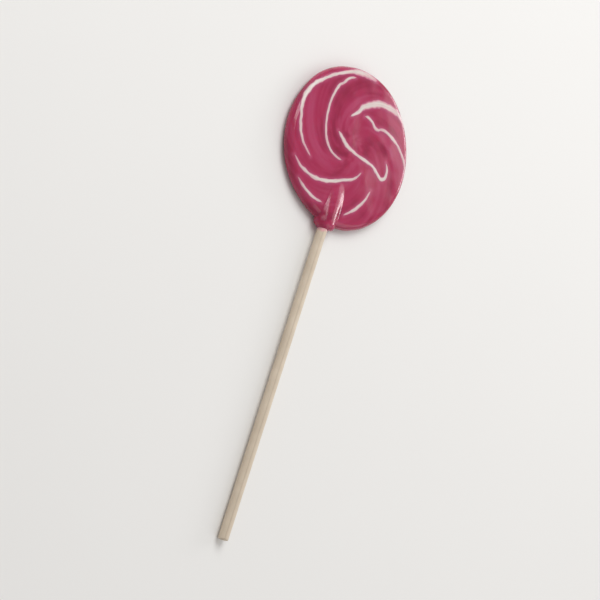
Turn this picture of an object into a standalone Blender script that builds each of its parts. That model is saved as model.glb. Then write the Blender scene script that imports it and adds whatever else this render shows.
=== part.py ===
"""A swirl lollipop, lying face up.

A pressed round of raspberry-pink hard candy, with white candy swirls let into both faces, on a rolled paper
stick. The origin is the middle of the candy's flat back, +Z points out of the shown face, and the stick lies
along -Y. Sizes are metres.
"""

import math

import bmesh
import bpy
import numpy as np

MM = 0.001

# The candy: a round with a flat back, a gently crowned face and a rounded edge.
CANDY_RADIUS = 25.5 * MM
CANDY_THICKNESS = 4.4 * MM
CROWN_RISE = 0.5 * MM
WIDEST_HEIGHT = 1.9 * MM
SHOULDER_WIDTH = 2.4 * MM
HEEL_WIDTH = 1.9 * MM
CROWN_RINGS = 5
EDGE_STEPS = 4
CANDY_FACETS = 64

# How far the hand-pressed candy is from round: (lobes around, share of the radius, turn in degrees).
OUTLINE_LOBES = ((2, 0.007, 20.0), (3, 0.006, 75.0), (5, 0.003, 140.0))
WEDGE = 0.02  # how much thicker than the middle the candy is at its +Y edge, as a share

# The stick, 4.5 in of 1/8 in rolled paper. Its far end droops to just above the surface that the candy lies on.
STICK_RADIUS = 1.6 * MM
STICK_LENGTH = 114.0 * MM
STICK_LET_IN = 12.0 * MM
STICK_HEIGHT = 2.3 * MM
STICK_END_CLEARANCE = 0.1 * MM
STICK_FACETS = 24
STICK_END_ROUNDING = 0.25 * MM

# The low, broad welt of candy that the press leaves over the stick, and the lip where the stick comes out.
WELT_RADIUS = 2.5 * MM
WELT_SPREAD = 1.6  # how many times wider than high the welt is
WELT_REACH_IN = 3.0 * MM
WELT_NOSE = 8.0 * MM
LIP_LENGTH = 1.6 * MM
WELT_LOWEST = 0.1 * MM

# Pieces that touch in the real candy keep this gap.
GAP = 0.3 * MM

# The swirls: flat-bottomed white inlays, level with the face on the front and just short of it on the back.
FRONT_INLAY_FLOOR = 3.1 * MM
BACK_INLAY_TOP = 0.9 * MM
BACK_INLAY_RECESS = 0.1 * MM
SWIRL_STEP = 1.8 * MM
CUTTER_OVERSHOOT = 1.0 * MM

# Where each swirl runs: (bearing in degrees, distance from the middle as a share of the radius, width in mm).
# Bearings are anticlockwise from the right of the face as it is looked at, before FRONT_TURN or BACK_TURN.
# Every swirl runs outward clockwise.
FRONT_SWIRLS = (
    # the rim arc, which bends twice and is broad where it ends over the shoulder
    ((191, 0.69, 0.6), (178, 0.785, 1.0), (167, 0.85, 1.3), (156, 0.90, 1.3), (148, 0.938, 1.4),
     (141, 0.958, 1.7), (134, 0.96, 1.8), (127, 0.952, 1.6), (120, 0.93, 1.2), (109, 0.92, 1.2),
     (98, 0.92, 1.3), (88, 0.935, 1.8), (79, 0.945, 2.6), (70, 0.948, 2.5), (61, 0.95, 1.2)),
    # the thin arc inside it, with a kink near its outer end
    ((222, 0.24, 0.5), (204, 0.29, 0.8), (184, 0.37, 1.0), (161, 0.457, 1.0), (139, 0.553, 1.0),
     (121, 0.668, 1.0), (107, 0.77, 1.1), (101, 0.793, 1.0), (96, 0.825, 1.1), (90, 0.857, 0.9),
     (84, 0.868, 0.5)),
    # the broad band from above the middle to the right edge
    ((96, 0.385, 0.5), (86, 0.41, 1.1), (76, 0.455, 1.5), (70, 0.53, 2.1), (61, 0.605, 2.4),
     (49, 0.73, 2.6), (38, 0.826, 2.4), (30, 0.905, 2.2), (23, 0.955, 2.0), (16, 0.985, 1.6)),
    # the wavy line with a kink under the band
    ((62, 0.445, 0.6), (54, 0.465, 1.1), (44, 0.468, 1.1), (34, 0.462, 1.1), (28, 0.495, 1.1),
     (26.5, 0.545, 1.1), (20, 0.625, 1.2), (11, 0.713, 1.3), (3, 0.80, 1.1), (-6, 0.885, 1.0),
     (-13, 0.935, 0.8), (-20, 0.96, 0.5)),
    # the long stroke past the middle that ends in a hook
    ((140, 0.31, 0.8), (147, 0.20, 1.4), (170, 0.095, 1.5), (273, 0.045, 1.3), (316, 0.145, 1.2),
     (326, 0.27, 1.2), (328, 0.40, 1.2), (325, 0.52, 1.2), (323.5, 0.605, 1.4), (328, 0.655, 1.4),
     (335, 0.65, 1.2), (340, 0.63, 0.9), (345, 0.60, 0.5)),
    # low on the right of the stick
    ((-58, 0.60, 0.5), (-72, 0.67, 1.1), (-86, 0.745, 1.3), (-100, 0.835, 0.5)),
    # round the inner end of the stick to the left edge
    ((-62, 0.33, 0.5), (-86, 0.375, 1.0), (-112, 0.43, 1.2), (-133, 0.57, 1.4), (-149, 0.73, 1.4),
     (-163, 0.86, 1.1), (-173, 0.93, 0.5)),
    # low on the left of the stick, near the edge
    ((-126, 0.84, 0.5), (-136, 0.89, 1.1), (-147, 0.925, 1.1), (-157, 0.95, 0.5)),
)
FRONT_TURN = 23.4
BACK_SWIRLS = (
    # the long arc that sweeps in under the middle and up again
    ((148, 0.90, 1.0), (159, 0.77, 2.0), (176, 0.60, 1.9), (203, 0.44, 1.5), (240, 0.42, 1.3),
     (270, 0.46, 1.2), (297, 0.54, 1.1), (320, 0.61, 0.9), (341, 0.62, 0.5)),
    # the loop: thick on its left side, thin over the top
    ((-52, 0.28, 1.0), (-20, 0.15, 1.9), (50, 0.16, 1.6), (70, 0.36, 1.1), (60, 0.57, 1.1), (47, 0.68, 1.2),
     (31, 0.70, 1.1), (15, 0.71, 0.9), (4, 0.71, 0.5)),
    # outside the loop
    ((46, 0.81, 0.6), (32, 0.855, 1.3), (19, 0.875, 1.1), (7, 0.885, 0.5)),
    # left of the loop
    ((137, 0.17, 0.5), (124, 0.28, 0.9), (114, 0.38, 1.0), (98, 0.49, 0.9), (84, 0.56, 0.5)),
    # the short stroke low on the left
    ((-119, 0.75, 0.5), (-125, 0.78, 1.0), (-131, 0.81, 0.5)),
    # beside the stick at the top
    ((60, 0.88, 0.5), (73, 0.885, 1.2), (86, 0.885, 1.2), (98, 0.88, 0.5)),
)
BACK_TURN = 140.0

CANDY_PINK = (0.42, 0.030, 0.095, 1.0)
SWIRL_WHITE = (0.72, 0.62, 0.60, 1.0)
PAPER_CREAM = (0.69, 0.61, 0.50, 1.0)


def clear_scene():
    for item in list(bpy.data.objects):
        bpy.data.objects.remove(item, do_unlink=True)


def new_collection(name):
    collection = bpy.data.collections.new(name)
    bpy.context.scene.collection.children.link(collection)
    return collection


def new_material(name, colour, roughness):
    material = bpy.data.materials.new(name)
    material.use_nodes = True
    shader = material.node_tree.nodes["Principled BSDF"]
    shader.inputs["Base Color"].default_value = colour
    shader.inputs["Roughness"].default_value = roughness
    shader.inputs["Metallic"].default_value = 0.0
    return material


def new_object(name, mesh, collection, material=None):
    made = bpy.data.objects.new(name, mesh)
    collection.objects.link(made)
    if material:
        made.data.materials.append(material)
    return made


def hide(cutter):
    """A cutter isn't a piece of the lollipop."""
    cutter.hide_render = True
    cutter.display_type = "WIRE"


def made_mesh(source, name):
    """The source's evaluated shape as a mesh of its own, welded and facing out. The source is removed."""
    graph = bpy.context.evaluated_depsgraph_get()
    mesh = bpy.data.meshes.new_from_object(source.evaluated_get(graph))
    mesh.name = name
    mesh.transform(source.matrix_world)
    bpy.data.objects.remove(source, do_unlink=True)
    shape = bmesh.new()
    shape.from_mesh(mesh)
    bmesh.ops.remove_doubles(shape, verts=shape.verts, dist=0.001 * MM)
    bmesh.ops.recalc_face_normals(shape, faces=shape.faces)
    shape.to_mesh(mesh)
    shape.free()
    return mesh


def turned(name, profile, facets):
    """A mesh turned about Z from a profile of (radius, height) points that runs down its outer side."""
    outline = bpy.data.meshes.new(name)
    edges = [(i, i + 1) for i in range(len(profile) - 1)]
    outline.from_pydata([(radius, 0.0, height) for radius, height in profile], edges, [])
    source = new_object(name, outline, bpy.context.scene.collection)
    screw = source.modifiers.new("turn", "SCREW")
    screw.steps = facets
    screw.render_steps = facets
    screw.use_merge_vertices = True
    screw.merge_threshold = 0.01 * MM
    bpy.context.view_layer.update()
    return made_mesh(source, name)


def candy_profile():
    """The crown is a shallow parabola. Shoulder and heel are quarter ellipses that meet at the widest height."""
    shoulder_radius = CANDY_RADIUS - SHOULDER_WIDTH
    shoulder_height = CANDY_THICKNESS - CROWN_RISE
    profile = []
    for ring in range(CROWN_RINGS):
        share = ring / CROWN_RINGS
        profile.append((shoulder_radius * share, CANDY_THICKNESS - CROWN_RISE * share**2))
    for step in range(EDGE_STEPS + 1):
        angle = math.radians(90 * step / EDGE_STEPS)
        radius = shoulder_radius + SHOULDER_WIDTH * math.sin(angle)
        profile.append((radius, WIDEST_HEIGHT + (shoulder_height - WIDEST_HEIGHT) * math.cos(angle)))
    for step in range(1, EDGE_STEPS + 1):
        angle = math.radians(90 * step / EDGE_STEPS)
        radius = CANDY_RADIUS - HEEL_WIDTH * (1 - math.cos(angle))
        profile.append((radius, WIDEST_HEIGHT * (1 - math.sin(angle))))
    profile.append((0.0, 0.0))
    return profile


def make_uneven(mesh):
    """Stretches each point away from the axis by the lobes at its bearing, and thickens the +Y side."""
    points = np.empty(len(mesh.vertices) * 3, np.float32)
    mesh.vertices.foreach_get("co", points)
    points = points.reshape(-1, 3)
    bearing = np.arctan2(points[:, 1], points[:, 0])
    stretch = np.ones(len(points))
    for lobes, share, turn in OUTLINE_LOBES:
        stretch += share * np.cos(lobes * (bearing - math.radians(turn)))
    points[:, 2] *= 1 + WEDGE * points[:, 1] / CANDY_RADIUS
    points[:, 0] *= stretch
    points[:, 1] *= stretch
    mesh.vertices.foreach_set("co", points.ravel())
    mesh.update()


def swirl_route(swirl, turn, mirrored):
    """Points every SWIRL_STEP along the smooth curve through a swirl's places, as rows of x, y and width."""
    places = np.array(swirl, float)
    bearing = np.radians(places[:, 0] + turn)
    reach = places[:, 1] * CANDY_RADIUS
    across = np.cos(bearing) * (-1 if mirrored else 1)
    knots = np.column_stack((across * reach, np.sin(bearing) * reach, places[:, 2] * MM))
    ends = np.vstack((2 * knots[0] - knots[1], knots, 2 * knots[-1] - knots[-2]))
    route = []
    for before, start, stop, after in zip(ends, ends[1:], ends[2:], ends[3:]):
        steps = max(2, round(float(np.linalg.norm((stop - start)[:2])) / SWIRL_STEP))
        t = (np.arange(steps) / steps)[:, None]
        bend = 2 * before - 5 * start + 4 * stop - after
        twist = 3 * (start - stop) + after - before
        route.append(start + 0.5 * t * (stop - before + t * (bend + t * twist)))
    return np.vstack((*route, knots[-1:]))


def swirl_outline(route, margin):
    """Half the width to each side of the route and back, widened all round by the margin."""
    places = route[:, :2]
    ahead = np.gradient(places, axis=0)
    ahead /= np.linalg.norm(ahead, axis=1)[:, None]
    places = places.copy()
    places[0] -= ahead[0] * margin
    places[-1] += ahead[-1] * margin
    side = np.column_stack((-ahead[:, 1], ahead[:, 0])) * (route[:, 2:] / 2 + margin)
    return np.vstack((places + side, (places - side)[::-1]))


def prism(name, outline, low, high):
    """A mesh that fills the outline from one height to the other."""
    curve = bpy.data.curves.new(name, "CURVE")
    curve.dimensions = "2D"
    curve.fill_mode = "BOTH"
    curve.extrude = (high - low) / 2
    spline = curve.splines.new("POLY")
    spline.points.add(len(outline) - 1)
    for point, (x, y) in zip(spline.points, outline):
        point.co = (x, y, 0.0, 1.0)
    spline.use_cyclic_u = True
    source = new_object(name, curve, bpy.context.scene.collection)
    source.location.z = (low + high) / 2
    bpy.context.view_layer.update()
    return made_mesh(source, name)


def cut(target, name, operation, cutter):
    """A Boolean on the target, with an object or a whole collection of them."""
    boolean = target.modifiers.new(name, "BOOLEAN")
    boolean.operation = operation
    boolean.solver = "EXACT"
    if isinstance(cutter, bpy.types.Collection):
        boolean.operand_type = "COLLECTION"
        boolean.collection = cutter
    else:
        boolean.object = cutter


def stick_slope():
    """How far the stick tips down, so that its far end clears the rest surface by STICK_END_CLEARANCE."""
    free = STICK_LENGTH - STICK_LET_IN
    return math.asin((STICK_HEIGHT - STICK_RADIUS - STICK_END_CLEARANCE) / free)


def along_stick(mesh):
    """Lays a mesh turned about Z along the stick: its z becomes the distance out from the candy's edge."""
    slope = stick_slope()
    points = np.empty(len(mesh.vertices) * 3, np.float32)
    mesh.vertices.foreach_get("co", points)
    x, y, out = points.reshape(-1, 3).T
    placed = np.column_stack(
        (
            x,
            -CANDY_RADIUS - out * math.cos(slope) - y * math.sin(slope),
            STICK_HEIGHT - out * math.sin(slope) + y * math.cos(slope),
        )
    )
    mesh.vertices.foreach_set("co", placed.astype(np.float32).ravel())
    mesh.update()


def rod(name, radius, inner, outer):
    """A cylinder along the stick, from one distance out from the candy's edge to another."""
    length = outer - inner
    bpy.ops.mesh.primitive_cylinder_add(vertices=STICK_FACETS, radius=radius, depth=length)
    source = bpy.context.object
    source.location.z = inner + length / 2
    bpy.context.view_layer.update()
    mesh = made_mesh(source, name)
    along_stick(mesh)
    return mesh


def welt_profile():
    """From the lip, where the stick comes out, along the welt to its pointed nose inside the candy."""
    inner_end = -STICK_LET_IN - WELT_REACH_IN
    profile = [(0.0, LIP_LENGTH)]
    for step in range(EDGE_STEPS + 1):
        angle = math.radians(90 * step / EDGE_STEPS)
        mouth = STICK_RADIUS + GAP
        profile.append((mouth + (WELT_RADIUS - mouth) * math.sin(angle), LIP_LENGTH * math.cos(angle)))
    for step in range(EDGE_STEPS + 1):
        share = step / EDGE_STEPS
        profile.append((WELT_RADIUS * math.sqrt(1 - share**2), inner_end + WELT_NOSE * (1 - share)))
    return profile


def make_welt(collection):
    mesh = turned("welt", welt_profile(), STICK_FACETS)
    along_stick(mesh)
    for vertex in mesh.vertices:
        vertex.co.x *= WELT_SPREAD
        vertex.co.z = max(vertex.co.z, WELT_LOWEST)
    welt = new_object("welt", mesh, collection)
    hide(welt)
    return welt


def make_stick(collection, material):
    mesh = rod("stick", STICK_RADIUS, -STICK_LET_IN, STICK_LENGTH - STICK_LET_IN)
    stick = new_object("stick", mesh, collection, material)
    bevel = stick.modifiers.new("rounded ends", "BEVEL")
    bevel.width = STICK_END_ROUNDING
    bevel.segments = 1
    bevel.limit_method = "ANGLE"
    bevel.angle_limit = math.radians(60)
    mesh.shade_smooth()
    mesh.set_sharp_from_angle(angle=math.radians(40))


def make_swirls(side, swirls, turn, blank, heights, pieces, grooves, material):
    """Each swirl is a prism trimmed to the candy's own surface, and its groove is the same with a gap round it."""
    floor, top = heights
    front = side == "front"
    for number, swirl in enumerate(swirls, 1):
        name = f"swirl_{side}_{number}"
        route = swirl_route(swirl, turn, mirrored=not front)
        inlay = new_object(name, prism(name, swirl_outline(route, 0.0), floor, top), pieces, material)
        cut(inlay, "trim to the face", "INTERSECT", blank)
        groove_floor = floor - GAP if front else -CUTTER_OVERSHOOT
        groove_top = top if front else top + GAP
        groove = prism(f"groove_{side}_{number}", swirl_outline(route, GAP), groove_floor, groove_top)
        hide(new_object(groove.name, groove, grooves))


def make_lollipop():
    clear_scene()
    pieces = new_collection("swirl_lollipop")
    cutters = new_collection("cutters")
    grooves = new_collection("groove_cutters")
    pink = new_material("pink_hard_candy", CANDY_PINK, 0.15)
    white = new_material("white_hard_candy", SWIRL_WHITE, 0.25)
    paper = new_material("rolled_paper", PAPER_CREAM, 0.6)

    body = turned("candy", candy_profile(), CANDY_FACETS)
    make_uneven(body)
    blank = new_object("candy_blank", body.copy(), cutters)
    hide(blank)
    candy = new_object("candy", body, pieces, pink)

    above = CANDY_THICKNESS + CUTTER_OVERSHOOT
    make_swirls("front", FRONT_SWIRLS, FRONT_TURN, blank, (FRONT_INLAY_FLOOR, above), pieces, grooves, white)
    back_heights = (BACK_INLAY_RECESS, BACK_INLAY_TOP)
    make_swirls("back", BACK_SWIRLS, BACK_TURN, blank, back_heights, pieces, grooves, white)

    hole_end = -STICK_LET_IN - GAP
    hole = new_object("stick_hole", rod("stick_hole", STICK_RADIUS + GAP, hole_end, 4 * LIP_LENGTH), cutters)
    hide(hole)
    cut(candy, "welt over the stick", "UNION", make_welt(cutters))
    cut(candy, "stick hole", "DIFFERENCE", hole)
    cut(candy, "swirl grooves", "DIFFERENCE", grooves)
    make_stick(pieces, paper)
    body.shade_smooth()
    body.set_sharp_from_angle(angle=math.radians(35))


make_lollipop()
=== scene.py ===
"""Looks for a swirl lollipop: a pressed round of raspberry hard candy with white pulled-sugar swirls in
both faces, on a rolled paper stick.

It lies face up on the middle of its flat back, with the stick along -Y. Every piece is a surface worked
out from named sizes, in metres, in the frame of the CAD model that it is dressed around.
"""

import math

import bpy
import numpy as np
from mathutils import Matrix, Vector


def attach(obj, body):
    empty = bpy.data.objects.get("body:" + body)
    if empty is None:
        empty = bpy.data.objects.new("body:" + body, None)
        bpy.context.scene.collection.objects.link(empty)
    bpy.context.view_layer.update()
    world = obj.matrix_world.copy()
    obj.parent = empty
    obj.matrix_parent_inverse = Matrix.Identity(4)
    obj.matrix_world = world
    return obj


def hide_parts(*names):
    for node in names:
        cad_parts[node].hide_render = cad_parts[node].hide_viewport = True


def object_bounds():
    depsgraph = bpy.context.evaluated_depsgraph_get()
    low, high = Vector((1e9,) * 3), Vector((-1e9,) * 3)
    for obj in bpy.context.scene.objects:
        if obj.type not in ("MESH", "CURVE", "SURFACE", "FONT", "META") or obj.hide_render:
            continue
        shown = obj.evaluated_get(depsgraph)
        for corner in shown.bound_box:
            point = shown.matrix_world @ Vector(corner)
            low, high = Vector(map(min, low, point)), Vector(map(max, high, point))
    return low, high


bl_info = {
    "name": "Swirl lollipop",
    "version": (1, 0, 0),
    "blender": (4, 5, 0),
    "location": "View3D > Sidebar > Lollipop",
    "description": "A hard candy lollipop with white swirls on a paper stick",
    "category": "Add Mesh",
}

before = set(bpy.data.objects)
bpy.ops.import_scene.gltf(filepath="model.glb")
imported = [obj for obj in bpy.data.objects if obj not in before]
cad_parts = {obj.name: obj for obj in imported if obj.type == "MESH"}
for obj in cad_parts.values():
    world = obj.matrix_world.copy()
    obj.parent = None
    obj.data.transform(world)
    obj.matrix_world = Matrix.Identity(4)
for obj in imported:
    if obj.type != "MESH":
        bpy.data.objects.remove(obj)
CAD_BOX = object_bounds()

MM = 0.001
TURN = 2 * math.pi

# How far the hand-pressed candy is from round: (lobes around, share of the radius, turn in degrees).
OUTLINE_LOBES = ((2, 0.007, 20.0), (3, 0.006, 75.0), (5, 0.003, 140.0))

# Where each swirl runs: (bearing in degrees, distance from the middle as a share of the radius, width in
# mm, share of white). Bearings are anticlockwise from the right of the face as it is looked at, before
# FRONT_TURN or BACK_TURN.
FRONT_TURN = 23.4
FRONT_SWIRLS = (
    # the rim arc: whitest where it bends twice, and broad but pink where it fades over the shoulder
    ((191, 0.69, 0.6, 0.5), (178, 0.785, 1.0, 0.65), (167, 0.85, 1.3, 0.8), (156, 0.90, 1.3, 0.85),
     (148, 0.938, 1.4, 0.95), (141, 0.958, 1.7, 1), (134, 0.96, 1.8, 1), (127, 0.952, 1.6, 1),
     (120, 0.93, 1.2, 0.95), (109, 0.92, 1.2, 0.9), (98, 0.92, 1.3, 0.9), (88, 0.935, 1.8, 0.9),
     (79, 0.945, 2.6, 0.85), (70, 0.948, 2.5, 0.7), (61, 0.95, 1.2, 0.3)),
    # the thin arc inside it, with a kink near its outer end
    ((222, 0.24, 0.5, 0.5), (204, 0.29, 0.8, 0.7), (184, 0.37, 1.0, 0.75), (161, 0.457, 1.0, 0.7),
     (139, 0.553, 1.0, 0.75), (121, 0.668, 1.0, 0.8), (107, 0.77, 1.1, 0.9), (101, 0.793, 1.0, 0.7),
     (96, 0.825, 1.1, 0.85), (90, 0.857, 0.9, 0.8), (84, 0.868, 0.5, 0.4)),
    # the broad band from above the middle to the right edge
    ((96, 0.385, 0.5, 0.5), (86, 0.41, 1.1, 0.9), (76, 0.455, 1.5, 0.95), (70, 0.53, 2.1, 0.9),
     (61, 0.605, 2.4, 0.9), (49, 0.73, 2.6, 0.9), (38, 0.826, 2.4, 0.85), (30, 0.905, 2.2, 0.75),
     (23, 0.955, 2.0, 0.7), (16, 0.985, 1.6, 0.6)),
    # the wavy line with a kink under the band
    ((62, 0.445, 0.6, 0.6), (54, 0.465, 1.1, 0.85), (44, 0.468, 1.1, 0.8), (34, 0.462, 1.1, 0.8),
     (28, 0.495, 1.1, 0.75), (26.5, 0.545, 1.1, 0.65), (20, 0.625, 1.2, 0.8), (11, 0.713, 1.3, 0.95),
     (3, 0.80, 1.1, 0.75), (-6, 0.885, 1.0, 0.7), (-13, 0.935, 0.8, 0.6), (-20, 0.96, 0.5, 0.4)),
    # the long stroke past the middle that ends in a hook
    ((140, 0.31, 0.8, 0.7), (147, 0.20, 1.4, 0.9), (170, 0.095, 1.5, 0.95), (273, 0.045, 1.3, 0.85),
     (316, 0.145, 1.2, 0.85), (326, 0.27, 1.2, 0.95), (328, 0.40, 1.2, 0.9), (325, 0.52, 1.2, 0.9),
     (323.5, 0.605, 1.4, 1), (328, 0.655, 1.4, 0.95), (335, 0.65, 1.2, 0.8), (340, 0.63, 0.9, 0.7),
     (345, 0.60, 0.5, 0.4)),
    # low on the right of the stick
    ((-58, 0.60, 0.5, 0.5), (-72, 0.67, 1.1, 0.8), (-86, 0.745, 1.3, 0.85), (-100, 0.835, 0.5, 0.5)),
    # round the inner end of the stick to the left edge
    ((-62, 0.33, 0.5, 0.5), (-86, 0.375, 1.0, 0.8), (-112, 0.43, 1.2, 0.9), (-133, 0.57, 1.4, 0.95),
     (-149, 0.73, 1.4, 0.9), (-163, 0.86, 1.1, 0.75), (-173, 0.93, 0.5, 0.4)),
    # low on the left of the stick, near the edge
    ((-126, 0.84, 0.5, 0.5), (-136, 0.89, 1.1, 0.8), (-147, 0.925, 1.1, 0.8), (-157, 0.95, 0.5, 0.4)),
)
BACK_TURN = 140.0
BACK_SWIRLS = (
    # the long arc that sweeps in under the middle and up again
    ((148, 0.90, 1.0, 0.6), (159, 0.77, 2.0, 0.95), (176, 0.60, 1.9, 1), (203, 0.44, 1.5, 0.95),
     (240, 0.42, 1.3, 0.9), (270, 0.46, 1.2, 0.9), (297, 0.54, 1.1, 0.85), (320, 0.61, 0.9, 0.7),
     (341, 0.62, 0.5, 0.4)),
    # the loop: thick on its left side, thin over the top
    ((-52, 0.28, 1.0, 0.7), (-20, 0.15, 1.9, 1), (50, 0.16, 1.6, 1), (70, 0.36, 1.1, 0.9),
     (60, 0.57, 1.1, 0.9), (47, 0.68, 1.2, 0.9), (31, 0.70, 1.1, 0.85), (15, 0.71, 0.9, 0.7),
     (4, 0.71, 0.5, 0.4)),
    # outside the loop
    ((46, 0.81, 0.6, 0.5), (32, 0.855, 1.3, 0.85), (19, 0.875, 1.1, 0.8), (7, 0.885, 0.5, 0.4)),
    # left of the loop
    ((137, 0.17, 0.5, 0.4), (124, 0.28, 0.9, 0.7), (114, 0.38, 1.0, 0.8), (98, 0.49, 0.9, 0.7),
     (84, 0.56, 0.5, 0.4)),
    # the short stroke low on the left
    ((-119, 0.75, 0.5, 0.5), (-125, 0.78, 1.0, 0.8), (-131, 0.81, 0.5, 0.5)),
    # beside the stick at the top
    ((60, 0.88, 0.5, 0.5), (73, 0.885, 1.2, 0.85), (86, 0.885, 1.2, 0.85), (98, 0.88, 0.5, 0.5)),
)

# Each side's name, its swirls and their turn in degrees.
SIDES = (("front", FRONT_SWIRLS, FRONT_TURN), ("back", BACK_SWIRLS, BACK_TURN))


def linear(hex_colour):
    """An sRGB colour such as "#A0B0C0" as linear red, green, blue and a full alpha."""
    encoded = np.array([int(hex_colour[i : i + 2], 16) for i in (1, 3, 5)]) / 255
    value = np.where(encoded <= 0.04045, encoded / 12.92, ((encoded + 0.055) / 1.055) ** 2.4)
    return (*(float(v) for v in value), 1.0)


def metres(name, description, default):
    """A setting that is a size."""
    return bpy.props.FloatProperty(name=name, description=description, default=default, unit="LENGTH")


def factor(name, description, default):
    """A setting that is a plain factor."""
    return bpy.props.FloatProperty(name=name, description=description, default=default, subtype="FACTOR")


def watts(name, description, default):
    """A setting that is a light's power."""
    return bpy.props.FloatProperty(name=name, description=description, default=default, unit="POWER")


def tint(name, description, hex_colour):
    """A setting that is a colour."""
    return bpy.props.FloatVectorProperty(
        name=name, description=description, default=linear(hex_colour), size=4, subtype="COLOR"
    )


class CandySettings(bpy.types.PropertyGroup):
    """Sizes and colours of the pressed candy."""

    radius: metres("Radius", "Half the candy's mean width", 25.5 * MM)
    thickness: metres("Thickness", "Height of the face's middle over the back", 4.4 * MM)
    crown: metres("Crown", "How far the face falls from its middle to its shoulder", 0.5 * MM)
    widest: metres("Widest height", "Height of the candy's widest line", 1.9 * MM)
    shoulder: metres("Shoulder", "Width of the rounding above the widest line", 2.4 * MM)
    heel: metres("Heel", "Width of the rounding below the widest line", 1.9 * MM)
    wedge: factor("Wedge", "How much thicker the far edge is than the middle", 0.02)
    ripple: metres("Ripple", "Height of the shallow waves in the face", 0.05 * MM)
    dish: metres("Dish", "How far the back is drawn in inside its heel", 0.12 * MM)
    seam: metres("Mould seam", "How far the parting line stands out of the edge", 0.09 * MM)
    welt_height: metres("Welt height", "Half the height of the welt of candy over the stick", 2.5 * MM)
    welt_spread: factor("Welt spread", "How many times wider than high the welt is", 1.6)
    lip: metres("Lip", "How far the welt reaches out along the stick", 1.6 * MM)
    colour: tint("Colour", "Clear raspberry candy", "#A62652")
    deep: tint("Deep colour", "Raspberry candy where least white is in it", "#890F3C")
    milky: tint("Milky colour", "Raspberry candy with white pulled through it", "#BA557A")


class SwirlSettings(bpy.types.PropertyGroup):
    """Sizes and colours of the white swirls."""

    relief: metres("Relief", "How far a swirl's middle stands over the face", 0.045 * MM)
    depth: metres("Depth", "How deep a swirl reaches into the candy", 0.7 * MM)
    white: tint("White", "Pulled sugar where the swirl is broad", "#D5CAC4")
    blush: tint("Blush", "Pulled sugar where the pink shows through", "#C98797")


class StickSettings(bpy.types.PropertyGroup):
    """Sizes and colours of the paper stick."""

    radius: metres("Radius", "Half the stick's width", 1.6 * MM)
    length: metres("Length", "The whole stick, with what is let into the candy", 114 * MM)
    let_in: metres("Let in", "How far the stick runs into the candy", 12 * MM)
    height: metres("Height", "Height of the stick's middle at the candy's edge", 2.3 * MM)
    clearance: metres("End clearance", "Height of the far end over the surface below", 0.1 * MM)
    paper: tint("Paper", "Uncoated off-white paper", "#D5C6B2")
    # this colour is also the painted shade along the outer layer's overlap edge, in place of the step's own
    # shadow
    fibre_and_shade: tint("Fibre", "Paper where the fibres lie thick, and at the overlap's edge", "#B4A48F")
    stain: tint("Stain", "Paper that took up some syrup", "#D98C9C")


class StageSettings(bpy.types.PropertyGroup):
    """The floor, the lights and the camera."""

    floor: tint("Floor", "Plain pale floor", "#E9E8E6")
    room: tint("Room", "Soft light from all round", "#F4F2F0")
    room_strength: factor("Room light", "Strength of the soft light from all round", 0.5)
    key_power: watts("Key light", "Power of the large soft light", 4.2)
    fill_power: watts("Fill light", "Power of the soft light across from it", 1.0)
    sheen_power: watts("Sheen light", "Power of the soft light that the face mirrors", 0.4)
    rim_power: watts("Rim light", "Power of the low light that the far shoulder mirrors", 1.3)
    distance: metres("Camera distance", "From the camera to the lollipop's middle", 0.68)
    lens: bpy.props.FloatProperty(
        name="Lens", description="Focal length in mm", default=135.0, unit="CAMERA"
    )


class LollipopSettings(bpy.types.PropertyGroup):
    """Everything that a user would change."""

    candy: bpy.props.PointerProperty(type=CandySettings, name="Candy", description="The pressed candy")
    swirls: bpy.props.PointerProperty(type=SwirlSettings, name="Swirls", description="The white swirls")
    stick: bpy.props.PointerProperty(type=StickSettings, name="Stick", description="The paper stick")
    stage: bpy.props.PointerProperty(type=StageSettings, name="Stage", description="Floor, lights, camera")


def waves(places, wavelength, seed, count=24, shortest=0.6, longest=1.5):
    """Gentle uneven height, mostly between -1 and 1: the sum of sine waves in random directions, over
    the square root of their count. Each wave's number of turns is from shortest to longest times that of
    the wavelength."""
    draw = np.random.default_rng(seed)
    heading = draw.normal(size=(places.shape[-1], count))
    heading *= TURN / wavelength * draw.uniform(shortest, longest, count) / np.linalg.norm(heading, axis=0)
    return np.sin(places @ heading + draw.uniform(0, TURN, count)).sum(-1) / math.sqrt(count)


def smooth_max(a, b, blend):
    """The larger of two values, rounded off where they are within the blend of each other."""
    share = np.clip(0.5 + 0.5 * (a - b) / blend, 0, 1)
    return b + (a - b) * share + blend * share * (1 - share)


def smooth_step(value, low, high):
    """0 below low, 1 above high, and a cubic ease between."""
    share = np.clip((value - low) / (high - low), 0, 1)
    return share * share * (3 - 2 * share)


def walked_along(points):
    """The distance walked along a line of points to each of them."""
    return np.concatenate(([0], np.cumsum(np.linalg.norm(np.diff(points, axis=0), axis=1))))


def smooth_line(knots, step):
    """A Catmull-Rom curve through the knots, as rows about one step apart."""
    ends = np.vstack((2 * knots[0] - knots[1], knots, 2 * knots[-1] - knots[-2]))
    spans = []
    for before, start, stop, after in zip(ends, ends[1:], ends[2:], ends[3:]):
        steps = max(2, round(float(np.linalg.norm((stop - start)[:2])) / step))
        t = (np.arange(steps) / steps)[:, None]
        bend = 2 * before - 5 * start + 4 * stop - after
        twist = 3 * (start - stop) + after - before
        spans.append(start + 0.5 * t * (stop - before + t * (bend + t * twist)))
    return np.vstack((*spans, knots[-1:]))


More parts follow.
